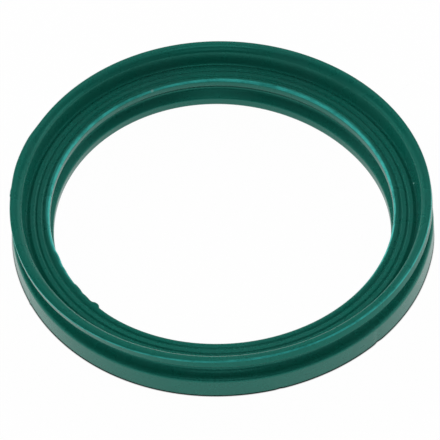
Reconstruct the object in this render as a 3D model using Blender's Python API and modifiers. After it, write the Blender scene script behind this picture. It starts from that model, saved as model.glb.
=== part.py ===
"""Coupling gasket: one moulded rubber ring that seals a round coupling.

The ring is a single section turned about the +Z axis. It stands on its flat
base at z = 0, with the ring's centre at the origin. Seen in section, from the
bore outwards, it has:

  - a foot lip low in the bore, and a rim above it, with an undercut recess
    between the two,
  - a ribbed sealing face, cut by fine concentric grooves,
  - a valley, and then a thin lip that flares up and out to a flat land, with a
    narrow outer face that leans out a little and ends in a sharp edge,
  - a deep outer groove with a hollowed floor under the lip, so that only a thin
    wall holds it, and a flange with a rounded shoulder.

Every radius is counted outwards from the bore, and every height upwards from
the base, so that each size below can be changed by itself.
"""

import math

import bmesh
import bpy

MM = 0.001

# Bore side of the section
BORE_DIAMETER = 58.2 * MM
FOOT_LIP_HEIGHT = 1.65 * MM
RECESS_DEPTH = 1.3 * MM
RECESS_HEIGHT = 2.25 * MM
RIM_SETBACK = 0.5 * MM
RIM_HEIGHT = 2.15 * MM

# Ribbed sealing face
RIM_BAND_WIDTH = 1.2 * MM
RIB_PITCH = 1.22 * MM
RIB_GROOVE_COUNT = 3
RIB_GROOVE_WIDTH = 0.55 * MM
RIB_GROOVE_DEPTH = 0.25 * MM
VALLEY_STRIP_WIDTH = 0.5 * MM
VALLEY_DEPTH = 0.6 * MM

# Flared lip
LIP_HEIGHT = 2.95 * MM
LIP_FLARE = 1.02 * MM
LIP_LAND_WIDTH = 1.36 * MM
LIP_FACE_LEAN = 0.18 * MM
LIP_FACE_HEIGHT = 1.25 * MM
LIP_WALL = 0.56 * MM

# Outer groove and flange
FLANGE_HEIGHT = 4.25 * MM
OUTER_GROOVE_DEPTH = 1.99 * MM
OUTER_GROOVE_HEIGHT = 1.5 * MM

# Fillets, each named for the corner that it rounds
FLANGE_SHOULDER_FILLET = 0.7 * MM
GROOVE_FLOOR_FILLET = 1.1 * MM
GROOVE_ROOF_FILLET = 0.4 * MM
LIP_INNER_FILLET = 0.25 * MM
LIP_CREST_FILLET = 0.3 * MM
LIP_EDGE_FILLET = 0.08 * MM
VALLEY_FILLET = 0.4 * MM
RIB_FILLET = 0.18 * MM
RIM_FILLET = 0.5 * MM
RECESS_FILLET = 0.7 * MM
FOOT_FILLET = 0.25 * MM
BASE_EDGE_FILLET = 0.3 * MM

# Fineness of the turned surface: steps round the ring, and how far an arc's
# chords may cut inside its true curve
TURN_STEPS = 76
ARC_TOLERANCE = 0.015 * MM
MERGE_DISTANCE = 0.001 * MM
SHARP_ANGLE = math.radians(40.0)

# Largest share of a straight leg that the fillets at its two ends may use up
LEG_USE = 0.97

# Moulded rubber, a satin petrol green
RUBBER_COLOUR = (0.010, 0.115, 0.082, 1.0)
RUBBER_ROUGHNESS = 0.38


def clear_scene():
    """Remove the objects that a new Blender scene starts with."""
    for scene_object in list(bpy.data.objects):
        bpy.data.objects.remove(scene_object, do_unlink=True)


def part_collection(name):
    """Add a collection for the part to the scene."""
    collection = bpy.data.collections.new(name)
    bpy.context.scene.collection.children.link(collection)
    return collection


def rubber_material():
    """Return the gasket's one material."""
    material = bpy.data.materials.new("moulded_rubber")
    material.use_nodes = True
    shader = material.node_tree.nodes["Principled BSDF"]
    shader.inputs["Base Color"].default_value = RUBBER_COLOUR
    shader.inputs["Roughness"].default_value = RUBBER_ROUGHNESS
    shader.inputs["Metallic"].default_value = 0.0
    return material


def corner_legs(corners, index):
    """Return the vectors from one corner to the corner before it and the one after."""
    radius, height, _ = corners[index]
    before = corners[index - 1]
    after = corners[(index + 1) % len(corners)]
    to_before = (before[0] - radius, before[1] - height)
    to_after = (after[0] - radius, after[1] - height)
    return to_before, to_after


def corner_opening(to_before, to_after):
    """Return the angle between the two legs of a corner."""
    along = to_before[0] * to_after[0] + to_before[1] * to_after[1]
    cosine = along / (math.hypot(*to_before) * math.hypot(*to_after))
    return math.acos(max(-1.0, min(1.0, cosine)))


def wanted_reach(corners, index):
    """Return how far along its legs a corner's fillet would reach with room to spare."""
    opening = corner_opening(*corner_legs(corners, index))
    return corners[index][2] / math.tan(opening / 2.0)


def rounded_corner(corners, index, reaches):
    """Return the points of the arc that rounds one corner of the section.

    The arc touches both legs of the corner. Two neighbouring fillets share the
    leg between them by their sizes where it is too short for both, so that
    they never cross.
    """
    to_before, to_after = corner_legs(corners, index)
    opening = corner_opening(to_before, to_after)
    reach = reaches[index]
    for leg, neighbour in ((to_before, index - 1), (to_after, (index + 1) % len(corners))):
        share = reaches[index] / (reaches[index] + reaches[neighbour])
        reach = min(reach, LEG_USE * math.hypot(*leg) * share)
    radius = reach * math.tan(opening / 2.0)
    unit_before = [part / math.hypot(*to_before) for part in to_before]
    unit_after = [part / math.hypot(*to_after) for part in to_after]
    middle = (unit_before[0] + unit_after[0], unit_before[1] + unit_after[1])
    centre_distance = radius / math.sin(opening / 2.0) / math.hypot(*middle)
    corner = corners[index]
    centre = (corner[0] + middle[0] * centre_distance, corner[1] + middle[1] * centre_distance)
    start = (corner[0] + unit_before[0] * reach, corner[1] + unit_before[1] * reach)
    start_angle = math.atan2(start[1] - centre[1], start[0] - centre[0])
    turns_left = to_before[0] * to_after[1] - to_before[1] * to_after[0] < 0.0
    turn = math.pi - opening
    if not turns_left:
        turn = -turn
    widest_step = 2.0 * math.acos(max(0.0, 1.0 - ARC_TOLERANCE / radius))
    segments = max(1, math.ceil(abs(turn) / widest_step))
    points = []
    for step in range(segments + 1):
        angle = start_angle + turn * step / segments
        point_radius = centre[0] + radius * math.cos(angle)
        point_height = centre[1] + radius * math.sin(angle)
        points.append((point_radius, point_height))
    return points


def rounded_outline(corners):
    """Return the closed outline through the corners, each rounded by its fillet."""
    reaches = [wanted_reach(corners, index) for index in range(len(corners))]
    outline = []
    for index in range(len(corners)):
        outline.extend(rounded_corner(corners, index, reaches))
    return outline


def rib_groove_corners(centre_radius, face_height):
    """Return the corners of one groove in the ribbed face, from the bore side out."""
    half_width = RIB_GROOVE_WIDTH / 2.0
    return [
        (centre_radius - half_width, face_height, RIB_FILLET),
        (centre_radius, face_height - RIB_GROOVE_DEPTH, RIB_FILLET),
        (centre_radius + half_width, face_height, RIB_FILLET),
    ]


def section_corners():
    """Return the section's corners as (radius, height, fillet).

    They start at the lip's crest, run down the outer side and in along the
    base, then up the bore and out again over the ribbed face.
    """
    foot_radius = BORE_DIAMETER / 2.0
    rim_radius = foot_radius + RIM_SETBACK
    recess_radius = rim_radius + RECESS_DEPTH
    rim_underside = FOOT_LIP_HEIGHT + RECESS_HEIGHT
    face_height = rim_underside + RIM_HEIGHT

    groove_radii = []
    for index in range(RIB_GROOVE_COUNT):
        groove_radii.append(rim_radius + RIM_BAND_WIDTH + index * RIB_PITCH)
    strip_radius = groove_radii[-1] + VALLEY_STRIP_WIDTH
    valley_height = face_height - VALLEY_DEPTH
    lip_inner_radius = strip_radius + LIP_FLARE
    land_outer_radius = lip_inner_radius + LIP_LAND_WIDTH
    lip_radius = land_outer_radius + LIP_FACE_LEAN
    crest_height = face_height + LIP_HEIGHT
    lip_edge_height = crest_height - LIP_FACE_HEIGHT

    groove_wall_radius = strip_radius + LIP_WALL
    flange_radius = groove_wall_radius + OUTER_GROOVE_DEPTH
    lip_root_height = FLANGE_HEIGHT + OUTER_GROOVE_HEIGHT
    recess_middle = FOOT_LIP_HEIGHT + RECESS_HEIGHT / 2.0

    corners = [
        (land_outer_radius, crest_height, LIP_CREST_FILLET),
        (lip_radius, lip_edge_height, LIP_EDGE_FILLET),
        (groove_wall_radius, lip_root_height, GROOVE_ROOF_FILLET),
        (groove_wall_radius, FLANGE_HEIGHT, GROOVE_FLOOR_FILLET),
        (flange_radius, FLANGE_HEIGHT, FLANGE_SHOULDER_FILLET),
        (flange_radius, 0.0, BASE_EDGE_FILLET),
        (foot_radius, 0.0, BASE_EDGE_FILLET),
        (foot_radius, FOOT_LIP_HEIGHT, FOOT_FILLET),
        (recess_radius, recess_middle, RECESS_FILLET),
        (rim_radius, rim_underside, FOOT_FILLET),
        (rim_radius, face_height, RIM_FILLET),
    ]
    for groove_radius in groove_radii:
        corners.extend(rib_groove_corners(groove_radius, face_height))
    corners.append((strip_radius, valley_height, VALLEY_FILLET))
    corners.append((lip_inner_radius, crest_height, LIP_INNER_FILLET))
    return corners


def turned_ring(name, outline, material, collection):
    """Turn the closed outline about +Z with a Screw modifier."""
    mesh = bpy.data.meshes.new(name)
    profile = bmesh.new()
    verts = []
    for radius, height in outline:
        verts.append(profile.verts.new((radius, 0.0, height)))
    for index, vert in enumerate(verts):
        profile.edges.new((vert, verts[(index + 1) % len(verts)]))
    profile.to_mesh(mesh)
    profile.free()
    ring = bpy.data.objects.new(name, mesh)
    collection.objects.link(ring)
    mesh.materials.append(material)
    screw = ring.modifiers.new("turn_about_axis", "SCREW")
    screw.axis = "Z"
    screw.angle = math.tau
    screw.screw_offset = 0.0
    screw.steps = TURN_STEPS
    screw.render_steps = TURN_STEPS
    screw.use_merge_vertices = True
    screw.merge_threshold = MERGE_DISTANCE
    return ring


def apply_and_shade(ring):
    """Replace the profile by its turned mesh, smooth with sharp lip and rib edges."""
    depsgraph = bpy.context.evaluated_depsgraph_get()
    turned = bpy.data.meshes.new_from_object(ring.evaluated_get(depsgraph))
    profile = ring.data
    ring.modifiers.clear()
    ring.data = turned
    bpy.data.meshes.remove(profile)
    turned.name = ring.name
    turned.shade_smooth()
    turned.set_sharp_from_angle(angle=SHARP_ANGLE)


def build():
    """Build the coupling gasket."""
    clear_scene()
    collection = part_collection("coupling_gasket")
    outline = rounded_outline(section_corners())
    ring = turned_ring("gasket_ring", outline, rubber_material(), collection)
    apply_and_shade(ring)


build()
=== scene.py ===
"""A moulded rubber coupling gasket, dressed for a studio picture.

The file is laid out as a Blender add-on and run as a script. One operator
makes the gasket's moulding, with the small faults that a rubber moulding has,
and one makes the stage with its camera and its lamps.
"""

import math
from collections import namedtuple

import bmesh
import bpy
from bpy.props import FloatProperty, FloatVectorProperty, IntProperty, PointerProperty
from mathutils import Matrix, Vector


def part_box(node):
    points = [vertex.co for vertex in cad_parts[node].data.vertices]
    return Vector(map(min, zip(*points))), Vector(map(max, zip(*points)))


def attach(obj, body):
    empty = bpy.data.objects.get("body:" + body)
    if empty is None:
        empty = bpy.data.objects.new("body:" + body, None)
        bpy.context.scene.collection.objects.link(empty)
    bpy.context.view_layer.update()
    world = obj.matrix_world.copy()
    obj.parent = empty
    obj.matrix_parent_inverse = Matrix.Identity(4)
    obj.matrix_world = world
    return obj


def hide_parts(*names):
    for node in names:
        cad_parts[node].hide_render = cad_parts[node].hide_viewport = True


bl_info = {
    "name": "Coupling Gasket",
    "version": (1, 0, 0),
    "blender": (4, 5, 0),
    "location": "3D View > Sidebar > Gasket",
    "description": "Makes a moulded rubber coupling gasket and a studio stage for it",
    "category": "Object",
}

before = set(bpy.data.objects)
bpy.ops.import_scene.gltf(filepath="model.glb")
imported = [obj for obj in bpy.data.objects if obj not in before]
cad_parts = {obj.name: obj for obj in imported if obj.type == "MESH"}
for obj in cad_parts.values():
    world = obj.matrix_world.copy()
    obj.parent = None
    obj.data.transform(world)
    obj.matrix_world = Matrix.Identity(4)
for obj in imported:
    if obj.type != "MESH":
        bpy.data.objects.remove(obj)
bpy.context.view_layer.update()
RING_LOW, RING_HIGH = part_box("gasket_ring")
OUTER_DIAMETER = RING_HIGH[0] - RING_LOW[0]
RING_HEIGHT = RING_HIGH[2] - RING_LOW[2]

MM = 0.001

# A moulding fault: where it lies round the ring and how far it reaches either
# way, in degrees, its place in the section and its reach there, and how far it
# moves the surface outwards and upwards, all in millimetres
Fault = namedtuple("Fault", "angle before after radius height reach outwards upwards")

FAULTS = (
    # Flash along the rim's bore edge, torn in places
    Fault(212.0, 17.0, 15.0, 29.6, 6.1, 1.40, -0.16, 0.00),
    Fault(199.5, 2.2, 2.6, 29.8, 6.0, 0.55, -0.16, 0.03),
    Fault(205.5, 1.2, 1.5, 29.8, 6.0, 0.50, -0.07, 0.02),
    Fault(214.4, 1.7, 2.2, 29.8, 6.0, 0.55, -0.17, 0.03),
    Fault(219.0, 1.0, 1.4, 29.8, 6.0, 0.50, -0.07, 0.02),
    Fault(224.4, 1.9, 0.9, 29.8, 6.0, 0.60, -0.42, 0.06),
    # Nub and bulge on the lip's outer edge, and a bulge of the flange
    Fault(177.2, 1.9, 0.8, 36.1, 8.8, 0.70, 0.11, 0.00),
    Fault(160.0, 7.0, 12.0, 36.1, 8.4, 1.60, 0.22, 0.00),
    Fault(2.0, 14.0, 10.0, 36.3, 2.5, 4.50, 0.20, 0.00),
    # Nicks along the base's outer edge
    Fault(205.2, 0.5, 0.5, 36.3, 0.4, 0.50, 0.10, 0.00),
    Fault(285.4, 0.9, 0.7, 36.2, 0.3, 0.40, -0.05, 0.10),
    Fault(316.6, 0.9, 0.9, 36.2, 0.3, 0.45, -0.08, 0.12),
)


# A soft far lamp: the direction that it shines from, counted from the right
# towards the back and then upwards, and the angle that it fills, all in degrees,
# its strength, and whether the rubber's sheen shows it
Lamp = namedtuple("Lamp", "name azimuth elevation spread strength shows")

LAMPS = (
    Lamp("right_shine", 0.0, 12.0, 40.0, 0.31, True),
    Lamp("back_right_shine", 45.0, 12.0, 40.0, 0.16, True),
    Lamp("back_left_shine", 135.0, 12.0, 40.0, 0.06, True),
    Lamp("left_shine", 180.0, 14.0, 40.0, 0.18, True),
    Lamp("front_left_shine", 225.0, 14.0, 40.0, 0.09, True),
    Lamp("front_right_shine", 315.0, 12.0, 40.0, 0.06, True),
    Lamp("back_shine", 90.0, 38.0, 40.0, 0.11, True),
    Lamp("front_shine", 270.0, 45.0, 30.0, 0.10, True),
    Lamp("back_top_shine", 90.0, 70.0, 20.0, 0.04, True),
    Lamp("right_top_shine", 0.0, 70.0, 20.0, 0.03, True),
    Lamp("overhead_shine", 0.0, 90.0, 20.0, 0.12, True),
    Lamp("right_fill", 0.0, 12.0, 40.0, 0.26, False),
    Lamp("back_right_fill", 45.0, 16.0, 46.0, 1.64, False),
    Lamp("back_left_fill", 135.0, 12.0, 40.0, 2.53, False),
    Lamp("back_fill", 90.0, 12.0, 40.0, 0.21, False),
    Lamp("left_fill", 180.0, 18.0, 44.0, 0.48, False),
    Lamp("front_fill", 270.0, 45.0, 30.0, 0.55, False),
    Lamp("overhead_fill", 0.0, 90.0, 20.0, 0.37, False),
)


# Fillets of the section, each named for the corner that it rounds
LIP_CREST_FILLET = 0.3 * MM
LIP_EDGE_FILLET = 0.08 * MM
LIP_INNER_FILLET = 1.2 * MM
FLANGE_SHOULDER_FILLET = 0.7 * MM
BASE_EDGE_FILLET = 0.3 * MM
BORE_EDGE_FILLET = 0.5 * MM
FOOT_FILLET = 0.5 * MM
RECESS_FILLET = 0.7 * MM
RIM_UNDERSIDE_FILLET = 0.8 * MM
RIM_FILLET = 0.6 * MM
RIB_FILLET = 0.18 * MM
VALLEY_FILLET = 0.4 * MM

# Segments of the finest fillets, of most of them and of the widest
RIB_SEGMENTS = 3
CORNER_SEGMENTS = 5
WIDE_SEGMENTS = 8

# Largest share of a straight leg that the fillets at its two ends may use up,
# how close to a fillet the points that hold a flat sit, and how many times that
# distance a flat must measure to get them
LEG_USE = 0.97
HOLD_DISTANCE = 0.06 * MM
HOLD_ROOM = 5.0
MERGE_DISTANCE = 0.001 * MM

# How squarely a fault begins and ends round the ring, and the strength below
# which it is left out
FAULT_SQUARENESS = 4
FAULT_FLOOR = 0.01


# Bands of painted highlight, pale green painted along the rim's bore edge and the lip crest's outer
# edge where a gloss highlight falls: lowest and highest radius, lowest and highest height, all in
# millimetres, the middle of the stretch of the ring that is painted and how far it reaches either
# way, in degrees, and how strong the painted highlight is
Band = namedtuple("Band", "low high bottom top angle reach strength")

PAINTED_HIGHLIGHT_BANDS = (
    Band(28.5, 30.05, 5.75, 6.10, 90.0, 120.0, 1.0),
    Band(35.5, 37.50, 8.72, 8.95, 278.0, 88.0, 0.8),
)
BAND_FADE = 0.04 * MM
BAND_END_FADE = 0.15
# Strength of a band's painted highlight where it is thinnest, and the noise between which it thickens
BAND_THIN = 0.55
BAND_NOISE = (0.35, 0.6)

# Painted contact shadow, a dark line painted on the floor round the ring's base where ambient
# occlusion finds the ring close by: it lies outside this radius, reaches this far, and runs from none
# to full between these two shares of open sky
CONTACT_RADIUS = 33.0 * MM
CONTACT_REACH = 0.30 * MM
CONTACT_SKY = (0.95, 0.55)
CONTACT_SAMPLES = 16
CONTACT_SHADOW_COLOUR = (0.010, 0.050, 0.038)
FLOOR_ROUGHNESS = 0.9

# Pale flecks: angle round the ring, radius, height and size, in degrees and millimetres
Fleck = namedtuple("Fleck", "angle radius height size")

FLECKS = (
    Fleck(112.9, 29.78, 6.05, 0.40),
    Fleck(9.7, 33.85, 5.50, 0.28),
    Fleck(177.0, 36.3, 8.70, 0.45),
)
# Share of a fleck's size within which it is at its palest
FLECK_CORE = 0.5

# Noise in the rubber's skin: scale and detail of its clouds, patches and grain
CLOUDS = (90.0, 3.0)
PATCHES = (420.0, 2.0)
GRAIN = (2600.0, 2.0)
# Shares of clouds and patches in the bloom, and the noise between which it comes up
BLOOM_SHARES = (0.6, 0.4)
BLOOM_NOISE = (0.42, 0.62)
# How far the patches change the roughness and the skin's height, and the bump's strength
ROUGHNESS_CHANGE = 0.10
PATCH_HEIGHT = 0.8
BUMP_STRENGTH = 0.6

# Camera's sensor width in millimetres, and its clipping distances in metres
SENSOR_WIDTH = 36.0
CLIP_NEAR = 0.01
CLIP_FAR = 50.0


class GasketShape(bpy.types.PropertyGroup):
    """Sizes of the gasket's section and of its soft out-of-round."""

    bore_diameter: FloatProperty(
        name="Bore", description="Diameter inside the foot lip",
        default=58.08 * MM, unit="LENGTH")
    foot_height: FloatProperty(
        name="Foot height", description="Height of the foot lip's face",
        default=1.85 * MM, unit="LENGTH")
    recess_depth: FloatProperty(
        name="Recess depth", description="Depth of the recess in the bore",
        default=1.3 * MM, unit="LENGTH")
    recess_height: FloatProperty(
        name="Recess height", description="Height of the recess's mouth",
        default=2.7 * MM, unit="LENGTH")
    rim_setback: FloatProperty(
        name="Rim setback", description="How far the rim stands back from the foot lip",
        default=0.5 * MM, unit="LENGTH")
    rim_rise: FloatProperty(
        name="Rim rise", description="How far the rim stands above the ribbed face",
        default=0.2 * MM, unit="LENGTH")
    lip_height: FloatProperty(
        name="Lip height", description="Height of the lip's crest above the ribbed face",
        default=2.95 * MM, unit="LENGTH")
    rim_band: FloatProperty(
        name="Rim band", description="From the rim's edge to the first groove",
        default=1.3 * MM, unit="LENGTH")
    rib_pitch: FloatProperty(
        name="Rib pitch", description="Distance between the fine grooves",
        default=1.2 * MM, unit="LENGTH")
    groove_count: IntProperty(
        name="Fine grooves", description="How many fine grooves the sealing face has",
        default=3, min=1, max=6)
    groove_width: FloatProperty(
        name="Groove width", description="Width of a fine groove",
        default=0.55 * MM, unit="LENGTH")
    groove_depth: FloatProperty(
        name="Groove depth", description="Depth of a fine groove",
        default=0.25 * MM, unit="LENGTH")
    valley_strip: FloatProperty(
        name="Valley strip", description="From the last groove to the valley's floor",
        default=0.5 * MM, unit="LENGTH")
    valley_depth: FloatProperty(
        name="Valley depth", description="Depth of the valley below the ribbed face",
        default=0.75 * MM, unit="LENGTH")
    lip_flare: FloatProperty(
        name="Lip flare", description="How far the lip's inner wall leans out",
        default=0.71 * MM, unit="LENGTH")
    land_width: FloatProperty(
        name="Land width", description="Width of the flat land on the lip's crest",
        default=1.67 * MM, unit="LENGTH")
    face_height: FloatProperty(
        name="Lip face height", description="From the crest down to the lip's sharp outer edge",
        default=1.25 * MM, unit="LENGTH")
    groove_floor_round: FloatProperty(
        name="Outer groove floor", description="Fillet between the outer groove's wall and floor",
        default=1.1 * MM, unit="LENGTH")
    groove_roof_round: FloatProperty(
        name="Outer groove roof", description="Fillet between the outer groove's wall and roof",
        default=0.4 * MM, unit="LENGTH")
    lip_wall: FloatProperty(
        name="Lip wall", description="Wall between the valley and the outer groove",
        default=0.56 * MM, unit="LENGTH")
    flange_setback: FloatProperty(
        name="Flange setback", description="How far the flange stands inside the lip's edge",
        default=0.06 * MM, unit="LENGTH")
    flange_height: FloatProperty(
        name="Flange height", description="Height of the flange",
        default=4.25 * MM, unit="LENGTH")
    groove_height: FloatProperty(
        name="Outer groove height", description="Height of the outer groove's wall",
        default=1.5 * MM, unit="LENGTH")
    turn_steps: IntProperty(
        name="Turn steps", description="Steps of the moulding round the ring",
        default=600, min=24, max=720)
    base_sway: FloatVectorProperty(
        name="Base sway", description="Out-of-round of the base: waves 2, 3 and 4, cosine and sine",
        size=6, default=[-0.02 * MM, -0.14 * MM, 0.27 * MM, -0.12 * MM, 0.03 * MM, -0.02 * MM],
        unit="LENGTH")
    lip_sway: FloatVectorProperty(
        name="Lip sway", description="Out-of-round of the lip: waves 2, 3 and 4, cosine and sine",
        size=6, default=[-0.03 * MM, 0.12 * MM, 0.14 * MM, -0.09 * MM, -0.04 * MM, 0.04 * MM],
        unit="LENGTH")
    roll_mean: FloatProperty(
        name="Mean roll", description="How far the lip's face leans in or out, all round",
        default=math.radians(-3.7), unit="ROTATION")
    roll_waves: FloatVectorProperty(
        name="Roll waves", description="How its lean changes: waves 1, 2 and 3, cosine and sine",
        size=6, unit="ROTATION", default=[
            math.radians(8.1), math.radians(-4.9), math.radians(-2.4), math.radians(-7.1),
            math.radians(-2.5), math.radians(2.6)])
    roll_rise: FloatProperty(
        name="Roll rise", description="Share of the roll that also tilts the land",
        default=0.4, min=0.0, max=1.0, subtype="FACTOR")


class GasketFinish(bpy.types.PropertyGroup):
    """Colour and surface of the rubber."""

    rubber_colour: FloatVectorProperty(
        name="Rubber", description="Petrol green of the moulded rubber",
        subtype="COLOR", size=3, min=0.0, max=1.0, default=(0.005, 0.116, 0.085))
    # Painted highlight: pale green painted along the rim's and the crest's edges in place of a gloss
    # highlight
    painted_highlight_colour: FloatVectorProperty(
        name="Painted edge highlight", description="Paler green painted along the edges as a highlight",
        subtype="COLOR", size=3, min=0.0, max=1.0, default=(0.050, 0.480, 0.430))
    fleck_colour: FloatVectorProperty(
        name="Fleck", description="Small pale flecks of dust",
        subtype="COLOR", size=3, min=0.0, max=1.0, default=(0.25, 0.52, 0.46))
    worn_colour: FloatVectorProperty(
        name="Bloom", description="Greyer green where the rubber has a slight bloom",
        subtype="COLOR", size=3, min=0.0, max=1.0, default=(0.009, 0.113, 0.086))
    roughness: FloatProperty(
        name="Roughness", description="Roughness of the satin skin",
        default=0.28, min=0.0, max=1.0, subtype="FACTOR")
    gloss_tint: FloatVectorProperty(
        name="Gloss tint", description="Green cast of the sheen where it is seen straight on",
        subtype="COLOR", size=3, min=0.0, max=1.0, default=(0.15, 1.0, 0.8))
    gloss_level: FloatProperty(
        name="Gloss level", description="Strength of the sheen",
        default=0.9, min=0.0, max=1.0, subtype="FACTOR")
    grain: FloatProperty(
        name="Grain", description="Height of the moulded skin's fine grain",
        default=0.012 * MM, unit="LENGTH")


class GasketStage(bpy.types.PropertyGroup):
    """Camera, lamps, floor and backdrop."""

    camera_distance: FloatProperty(
        name="Camera distance", description="From the middle of the base to the camera",
        default=1.095, unit="LENGTH")
    camera_height: FloatProperty(
        name="Camera angle", description="Angle of the camera above the floor",
        default=math.radians(49.81), unit="ROTATION")
    camera_turn: FloatVectorProperty(
        name="Camera turn", description="Small pan, tilt and roll of the camera",
        size=3, subtype="EULER",
        default=[math.radians(-0.0072), math.radians(0.1125), math.radians(-0.8206)])
    lens: FloatProperty(
        name="Lens", description="Focal length in millimetres",
        default=519.4)
    floor_size: FloatProperty(
        name="Floor size", description="Side of the square floor",
        default=3.0, unit="LENGTH")
    floor_colour: FloatVectorProperty(
        name="Floor", description="Pale floor and backdrop",
        subtype="COLOR", size=3, min=0.0, max=1.0, default=(0.88, 0.88, 0.88))
    floor_glow: FloatProperty(
        name="Floor glow", description="How far the floor is lifted to the white of the backdrop",
        default=0.98, min=0.0, max=1.0, subtype="FACTOR")
    world_light: FloatProperty(
        name="Room light", description="Strength of the soft light from all round",
        default=0.02, min=0.0)
    lamp_level: FloatProperty(
        name="Lamp level", description="Scales all the lamps together",
        default=1.0, min=0.0)


# Numbers of a Mix node's sockets when it blends colours
MIX_FACTOR = 0
MIX_FIRST = 6
MIX_SECOND = 7
MIX_COLOUR = 2


class Socket:
    """A shader socket in a node tree, on which maths makes the Math nodes."""

    def __init__(self, tree, link):
        self.tree = tree
        self.link = link

    def node(self, kind, settings=None, inputs=None, output=0):
        """Add any node: its type, its settings and the values or links of its sockets."""
        made = self.tree.nodes.new(kind)
        for name, value in (settings or {}).items():
            setattr(made, name, value)
        for name, value in (inputs or {}).items():
            target = made.inputs[name]
            if isinstance(value, Socket):
                self.tree.links.new(value.link, target)
            else:
                target.default_value = value
        return Socket(self.tree, made.outputs[output])

    def maths(self, operation, first, second=0.0):
        """Add one Math node."""
        return self.node("ShaderNodeMath", {"operation": operation}, {0: first, 1: second})

    def __add__(self, other):
        return self.maths("ADD", self, other)

    def __radd__(self, other):
        return self.maths("ADD", other, self)

    def __sub__(self, other):
        return self.maths("SUBTRACT", self, other)

    def __rsub__(self, other):
        return self.maths("SUBTRACT", other, self)

    def __mul__(self, other):
        return self.maths("MULTIPLY", self, other)

    def __rmul__(self, other):
        return self.maths("MULTIPLY", other, self)

    def between(self, low, high):
        """This value as a share of the way from low to high, held at 0 and 1."""
        return self.node("ShaderNodeMapRange", {"clamp": True},
                         {"Value": self, "From Min": low, "From Max": high})

    def inside(self, low, high, fade):
        """1 where this value lies between two bounds, with soft ends."""
        below_high = 1.0 - self.between(high - fade, high + fade)
        return self.between(low - fade, low + fade) * below_high

    def mix(self, first, second):
        """Blend two colours, each a socket or three numbers, by this value."""
        ends = [end if isinstance(end, Socket) else (*end, 1.0) for end in (first, second)]
        return self.node("ShaderNodeMix", {"data_type": "RGBA"},
                         {MIX_FACTOR: self, MIX_FIRST: ends[0], MIX_SECOND: ends[1]},
                         output=MIX_COLOUR)


def new_material(name):
    """Return a material, its Principled shader and a wrapper to add nodes with."""
    material = bpy.data.materials.new(name)
    material.use_nodes = True
    tree = material.node_tree
    return material, tree.nodes["Principled BSDF"], Socket(tree, None)


def skin_noise(nodes, place, size):
    """Noise of one scale and detail in the rubber's skin."""
    scale, detail = size
    return nodes.node("ShaderNodeTexNoise", {}, {"Vector": place, "Scale": scale, "Detail": detail})


def feed(socket, shader, name):
    """Link a wrapped socket to one of a shader's or the output's inputs."""
    socket.tree.links.new(socket.link, shader.inputs[name])


def rubber_material(finish):
    """Satin petrol green rubber with a fine moulded grain, a slight bloom and painted highlights
    along the rim's and the crest's edges.
    """
    material, shader, nodes = new_material("satin_rubber")
    shader.inputs["Specular Tint"].default_value = (*finish.gloss_tint, 1.0)
    shader.inputs["Specular IOR Level"].default_value = finish.gloss_level
    place = nodes.node("ShaderNodeTexCoord", output="Object")
    clouds = skin_noise(nodes, place, CLOUDS)
    patches = skin_noise(nodes, place, PATCHES)
    grain = skin_noise(nodes, place, GRAIN)
    bloom = (clouds * BLOOM_SHARES[0] + patches * BLOOM_SHARES[1]).between(*BLOOM_NOISE)
    colour = bloom.mix(finish.rubber_colour, finish.worn_colour)
    flat = nodes.node("ShaderNodeVectorMath", {"operation": "MULTIPLY"},
                      {0: place, 1: (1.0, 1.0, 0.0)})
    radius = nodes.node("ShaderNodeVectorMath", {"operation": "LENGTH"}, {0: flat}, "Value")
    height = nodes.node("ShaderNodeSeparateXYZ", {}, {"Vector": place}, "Z")
    heading = nodes.node("ShaderNodeVectorMath", {"operation": "NORMALIZE"}, {0: flat})
    # Painted highlight: each band paints pale green along an edge, only on the stretch of the ring
    # where a gloss highlight falls
    for band in PAINTED_HIGHLIGHT_BANDS:
        across = radius.inside(band.low * MM, band.high * MM, BAND_FADE)
        upward = height.inside(band.bottom * MM, band.top * MM, BAND_FADE)
        turned = math.radians(band.angle)
        facing = nodes.node("ShaderNodeVectorMath", {"operation": "DOT_PRODUCT"},
                            {0: heading, 1: (math.cos(turned), math.sin(turned), 0.0)}, "Value")
        end = math.cos(math.radians(band.reach))
        along = facing.between(end - BAND_END_FADE, end + BAND_END_FADE)
        ragged = BAND_THIN + (1.0 - BAND_THIN) * patches.between(*BAND_NOISE)
        pale = across * upward * along * ragged * band.strength
        colour = pale.mix(colour, finish.painted_highlight_colour)
    for fleck in FLECKS:
        turned = math.radians(fleck.angle)
        point = (fleck.radius * MM * math.cos(turned), fleck.radius * MM * math.sin(turned),
                 fleck.height * MM)
        distance = nodes.node("ShaderNodeVectorMath", {"operation": "DISTANCE"},
                              {0: place, 1: point}, "Value")
        spot = distance.between(fleck.size * MM, fleck.size * FLECK_CORE * MM)
        colour = spot.mix(colour, finish.fleck_colour)
    feed(colour, shader, "Base Color")
    feed((patches - 0.5) * ROUGHNESS_CHANGE + finish.roughness, shader, "Roughness")
    bump = nodes.node("ShaderNodeBump", {}, {
        "Height": grain + patches * PATCH_HEIGHT, "Distance": finish.grain,
        "Strength": BUMP_STRENGTH})
    feed(bump, shader, "Normal")
    return material


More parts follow.
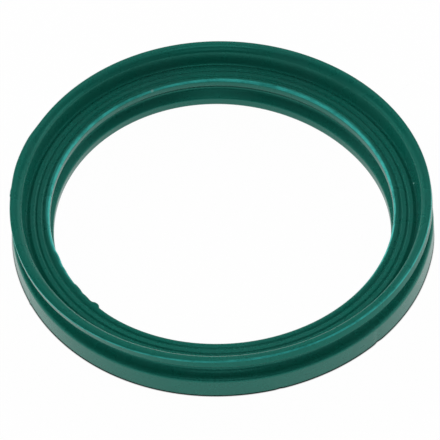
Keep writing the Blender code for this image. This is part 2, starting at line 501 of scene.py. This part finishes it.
def section_corners(shape):
    """Return the section's corners as (radius, height, fillet), from the lip's crest round."""
    outer = OUTER_DIAMETER / 2.0
    foot = shape.bore_diameter / 2.0
    rim = foot + shape.rim_setback
    recess = rim + shape.recess_depth
    face = RING_HEIGHT - shape.lip_height
    rim_underside = shape.foot_height + shape.recess_height
    first_groove = rim + shape.rim_band
    grooves = [first_groove + count * shape.rib_pitch for count in range(shape.groove_count)]
    strip = grooves[-1] + shape.valley_strip
    land_inner = strip + shape.lip_flare
    land_outer = land_inner + shape.land_width
    face_edge = RING_HEIGHT - shape.face_height
    wall = strip + shape.lip_wall
    flange = outer - shape.flange_setback
    root = shape.flange_height + shape.groove_height
    middle = shape.foot_height + shape.recess_height / 2.0
    half = shape.groove_width / 2.0
    corners = [
        (land_outer, RING_HEIGHT, LIP_CREST_FILLET),
        (outer, face_edge, LIP_EDGE_FILLET),
        (wall, root, shape.groove_roof_round),
        (wall, shape.flange_height, shape.groove_floor_round),
        (flange, shape.flange_height, FLANGE_SHOULDER_FILLET),
        (flange, 0.0, BASE_EDGE_FILLET),
        (foot, 0.0, BORE_EDGE_FILLET),
        (foot, shape.foot_height, FOOT_FILLET),
        (recess, middle, RECESS_FILLET),
        (rim, rim_underside, RIM_UNDERSIDE_FILLET),
        (rim, face + shape.rim_rise, RIM_FILLET),
    ]
    for groove in grooves:
        corners.append((groove - half, face, RIB_FILLET))
        corners.append((groove, face - shape.groove_depth, RIB_FILLET))
        if groove is not grooves[-1]:
            corners.append((groove + half, face, RIB_FILLET))
    corners.append((strip, face - shape.valley_depth, VALLEY_FILLET))
    corners.append((land_inner, RING_HEIGHT, LIP_INNER_FILLET))
    return corners


def wanted_reach(points, index, fillet):
    """How far along its legs a fillet of this radius would start, with room to spare."""
    before = points[index - 1] - points[index]
    after = points[(index + 1) % len(points)] - points[index]
    return fillet / math.tan(before.angle(after) / 2.0)


def corner_reaches(points, fillets):
    """Where each corner's fillet starts: neighbours share a short leg by their sizes."""
    wanted = [wanted_reach(points, index, fillet) for index, fillet in enumerate(fillets)]
    reaches = []
    for index, reach in enumerate(wanted):
        for neighbour in (index - 1, (index + 1) % len(points)):
            leg = (points[neighbour] - points[index]).length
            share = wanted[index] / (wanted[index] + wanted[neighbour])
            reach = min(reach, LEG_USE * leg * share)
        reaches.append(reach)
    return reaches


def section_mesh(corners):
    """Return a bmesh of the closed section, its corners rounded and its flats held."""
    section = bmesh.new()
    points = [Vector((radius, 0.0, height)) for radius, height, fillet in corners]
    verts = [section.verts.new(point) for point in points]
    section.faces.new(verts)
    reaches = corner_reaches(points, [fillet for radius, height, fillet in corners])
    for vert, reach, corner in zip(verts, reaches, corners):
        segments = RIB_SEGMENTS
        if corner[2] > RIB_FILLET:
            segments = CORNER_SEGMENTS
        if corner[2] > RECESS_FILLET:
            segments = WIDE_SEGMENTS
        bmesh.ops.bevel(section, geom=[vert], offset=reach, offset_type="OFFSET",
                        segments=segments, profile=0.5, affect="VERTICES", material=-1,
                        clamp_overlap=False)
    for edge in list(section.edges):
        length = edge.calc_length()
        if length > HOLD_ROOM * HOLD_DISTANCE:
            added = bmesh.utils.edge_split(edge, edge.verts[0], HOLD_DISTANCE / length)[1]
            rest = max(added.link_edges, key=lambda piece: piece.calc_length())
            bmesh.utils.edge_split(rest, rest.other_vert(added), HOLD_DISTANCE / rest.calc_length())
    bmesh.ops.delete(section, geom=section.faces[:], context="FACES_ONLY")
    return section


def wave_sum(waves, angle, first_count):
    """Add up cosine and sine waves round the ring, from the first count of crests up."""
    total = 0.0
    for index in range(len(waves) // 2):
        count = index + first_count
        total += waves[2 * index] * math.cos(count * angle)
        total += waves[2 * index + 1] * math.sin(count * angle)
    return total


def faults_at(degrees):
    """Return the faults that act at one angle, each with its strength there."""
    acting = []
    for fault in FAULTS:
        offset = (degrees - fault.angle + 180.0) % 360.0 - 180.0
        width = fault.before if offset < 0.0 else fault.after
        strength = math.exp(-(offset / width) ** FAULT_SQUARENESS)
        if strength > FAULT_FLOOR:
            acting.append((fault, strength))
    return acting


def settled(radius, height, state, shape):
    """Return where the soft, faulty moulding has one point of the true section."""
    base, lip, roll, faults = state
    share = height / RING_HEIGHT
    moved_radius = radius + (1.0 - share) * base + share * lip
    moved_height = height
    root = shape.flange_height + shape.groove_height
    face_edge = RING_HEIGHT - shape.face_height
    inside = OUTER_DIAMETER / 2.0 - radius
    lip_width = shape.land_width + shape.lip_flare + shape.lip_wall
    if height > root and inside < lip_width:
        turn = roll * min(1.0, (height - root) / (face_edge - root))
        moved_radius -= turn * max(0.0, height - face_edge)
        moved_height -= shape.roll_rise * turn * inside
    for fault, strength in faults:
        distance = math.hypot(radius / MM - fault.radius, height / MM - fault.height)
        weight = strength * max(0.0, 1.0 - (distance / fault.reach) ** 2)
        moved_radius += weight * fault.outwards * MM
        moved_height += weight * fault.upwards * MM
    return moved_radius, max(0.0, moved_height)


def settle(ring, shape):
    """Move every point of the turned ring to where the soft moulding has it."""
    states = {}
    for vert in ring.verts:
        angle = math.atan2(vert.co.y, vert.co.x)
        key = round(math.degrees(angle) % 360.0, 2)
        if key not in states:
            states[key] = (
                wave_sum(shape.base_sway, angle, 2),
                wave_sum(shape.lip_sway, angle, 2),
                shape.roll_mean + wave_sum(shape.roll_waves, angle, 1),
                faults_at(key),
            )
        radius, height = settled(math.hypot(vert.co.x, vert.co.y), vert.co.z, states[key], shape)
        vert.co = (radius * math.cos(angle), radius * math.sin(angle), height)


def add_piece(name, made, material):
    """Turn a bmesh into a smooth-shaded object at the origin with one material."""
    mesh = bpy.data.meshes.new(name)
    made.to_mesh(mesh)
    made.free()
    mesh.materials.append(material)
    mesh.shade_smooth()
    piece = bpy.data.objects.new(name, mesh)
    bpy.context.scene.collection.objects.link(piece)
    return piece


class GASKET_OT_ring(bpy.types.Operator):
    """Make the gasket's moulding in place of the plain ring"""

    bl_idname = "gasket.ring"
    bl_label = "Moulded Ring"

    def execute(self, context):
        shape = context.scene.gasket_shape
        ring = section_mesh(section_corners(shape))
        bmesh.ops.spin(ring, geom=ring.verts[:] + ring.edges[:], cent=(0.0, 0.0, 0.0),
                       axis=(0.0, 0.0, 1.0), dvec=(0.0, 0.0, 0.0), angle=math.tau,
                       steps=shape.turn_steps, use_merge=True, use_duplicate=False)
        bmesh.ops.remove_doubles(ring, verts=ring.verts[:], dist=MERGE_DISTANCE)
        bmesh.ops.recalc_face_normals(ring, faces=ring.faces[:])
        settle(ring, shape)
        piece = add_piece("gasket_moulding", ring, rubber_material(context.scene.gasket_finish))
        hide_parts("gasket_ring")
        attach(piece, "root")
        return {"FINISHED"}


def add_camera(stage):
    """Add the camera, level with the photograph's view of the ring."""
    pan, tilt, roll = stage.camera_turn
    turn = Matrix.Rotation(math.pi / 2.0 - stage.camera_height, 4, "X")
    turn = turn @ Matrix.Rotation(-pan, 4, "Y")
    turn = turn @ Matrix.Rotation(tilt, 4, "X")
    turn = turn @ Matrix.Rotation(roll, 4, "Z")
    back = stage.camera_distance * math.cos(stage.camera_height)
    rise = stage.camera_distance * math.sin(stage.camera_height)
    data = bpy.data.cameras.new("camera")
    data.sensor_width = SENSOR_WIDTH
    data.lens = stage.lens
    data.clip_start = CLIP_NEAR
    data.clip_end = CLIP_FAR
    camera = bpy.data.objects.new("camera", data)
    camera.matrix_world = Matrix.Translation((0.0, -back, rise)) @ turn
    bpy.context.scene.collection.objects.link(camera)
    bpy.context.scene.camera = camera


def add_lamp(lamp, level):
    """Add one soft far lamp that shines on the ring."""
    data = bpy.data.lights.new(lamp.name, "SUN")
    data.energy = lamp.strength * level
    data.angle = math.radians(lamp.spread)
    turned = math.radians(lamp.azimuth)
    raised = math.radians(lamp.elevation)
    towards = Vector((math.cos(raised) * math.cos(turned), math.cos(raised) * math.sin(turned),
                      math.sin(raised)))
    made = bpy.data.objects.new(lamp.name, data)
    made.location = towards
    made.rotation_euler = towards.to_track_quat("Z", "Y").to_euler()
    made.visible_glossy = lamp.shows
    bpy.context.scene.collection.objects.link(made)


def seen_by(nodes):
    """1 for rays from the camera, a gloss or glass, and 0 for the rays that light things."""
    camera = nodes.node("ShaderNodeLightPath", output="Is Camera Ray")
    glossy = nodes.node("ShaderNodeLightPath", output="Is Glossy Ray")
    glass = nodes.node("ShaderNodeLightPath", output="Is Transmission Ray")
    return nodes.maths("MAXIMUM", nodes.maths("MAXIMUM", camera, glossy), glass)


def floor_material(stage):
    """Pale floor that shows as the backdrop's white, keeps the ring's soft shadow and has a painted
    contact shadow round the ring's base.
    """
    material, shader, nodes = new_material("pale_floor")
    shader.inputs["Roughness"].default_value = FLOOR_ROUGHNESS
    shader.inputs["Specular IOR Level"].default_value = 0.0
    place = nodes.node("ShaderNodeTexCoord", output="Object")
    radius = nodes.node("ShaderNodeVectorMath", {"operation": "LENGTH"}, {0: place}, "Value")
    # Painted contact shadow: the floor's colour is darkened, and its glow taken away, where ambient
    # occlusion finds the ring close by
    sky = nodes.node("ShaderNodeAmbientOcclusion", {"samples": CONTACT_SAMPLES},
                     {"Distance": CONTACT_REACH}, "AO")
    contact_shadow = sky.between(*CONTACT_SKY) * radius.between(CONTACT_RADIUS, CONTACT_RADIUS + MM)
    feed(contact_shadow.mix(tuple(stage.floor_colour), CONTACT_SHADOW_COLOUR), shader, "Base Color")
    seen = seen_by(nodes) * (1.0 - contact_shadow)
    glow = nodes.node("ShaderNodeEmission", {}, {"Color": (1.0, 1.0, 1.0, 1.0), "Strength": 1.0})
    plain = Socket(nodes.tree, shader.outputs["BSDF"])
    blend = nodes.node("ShaderNodeMixShader", {}, {"Fac": seen * stage.floor_glow, 1: plain, 2: glow})
    feed(blend, nodes.tree.nodes["Material Output"], "Surface")
    return material


def set_world(stage):
    """Soft light from all round the room: the floor fills the view, so it stays faint."""
    world = bpy.data.worlds.new("room")
    world.use_nodes = True
    bpy.context.scene.world = world
    background = world.node_tree.nodes["Background"]
    background.inputs["Color"].default_value = (1.0, 1.0, 1.0, 1.0)
    background.inputs["Strength"].default_value = stage.world_light


class GASKET_OT_stage(bpy.types.Operator):
    """Make the floor, the backdrop, the lamps and the camera"""

    bl_idname = "gasket.stage"
    bl_label = "Studio Stage"

    def execute(self, context):
        stage = context.scene.gasket_stage
        floor = bmesh.new()
        bmesh.ops.create_grid(floor, x_segments=1, y_segments=1, size=stage.floor_size / 2.0)
        piece = add_piece("floor", floor, floor_material(stage))
        for lamp in LAMPS:
            add_lamp(lamp, stage.lamp_level)
        set_world(stage)
        add_camera(stage)
        context.scene.view_settings.view_transform = "Standard"
        return {"FINISHED"}


class GASKET_PT_panel(bpy.types.Panel):
    """Lists the gasket's pieces and its stage"""

    bl_idname = "GASKET_PT_panel"
    bl_label = "Coupling Gasket"
    bl_space_type = "VIEW_3D"
    bl_region_type = "UI"
    bl_category = "Gasket"

    def draw(self, context):
        layout = self.layout
        for step in STEPS:
            layout.operator(step.bl_idname)
        for group in (context.scene.gasket_shape, context.scene.gasket_finish,
                      context.scene.gasket_stage):
            box = layout.box()
            for name in group.bl_rna.properties.keys():
                if name not in {"rna_type", "name"}:
                    box.prop(group, name)


STEPS = (GASKET_OT_ring, GASKET_OT_stage)
GROUPS = {
    "gasket_shape": GasketShape,
    "gasket_finish": GasketFinish,
    "gasket_stage": GasketStage,
}
CLASSES = (*GROUPS.values(), *STEPS, GASKET_PT_panel)


def register():
    """Register the classes and hang the settings on the scene."""
    for entry in CLASSES:
        bpy.utils.register_class(entry)
    for name, group in GROUPS.items():
        setattr(bpy.types.Scene, name, PointerProperty(type=group))


def unregister():
    """Take the settings off the scene and unregister the classes."""
    for name in GROUPS:
        delattr(bpy.types.Scene, name)
    for entry in reversed(CLASSES):
        bpy.utils.unregister_class(entry)


def main():
    """Make everything in order."""
    register()
    bpy.ops.gasket.ring()
    bpy.ops.gasket.stage()


if __name__ == "__main__":
    main()
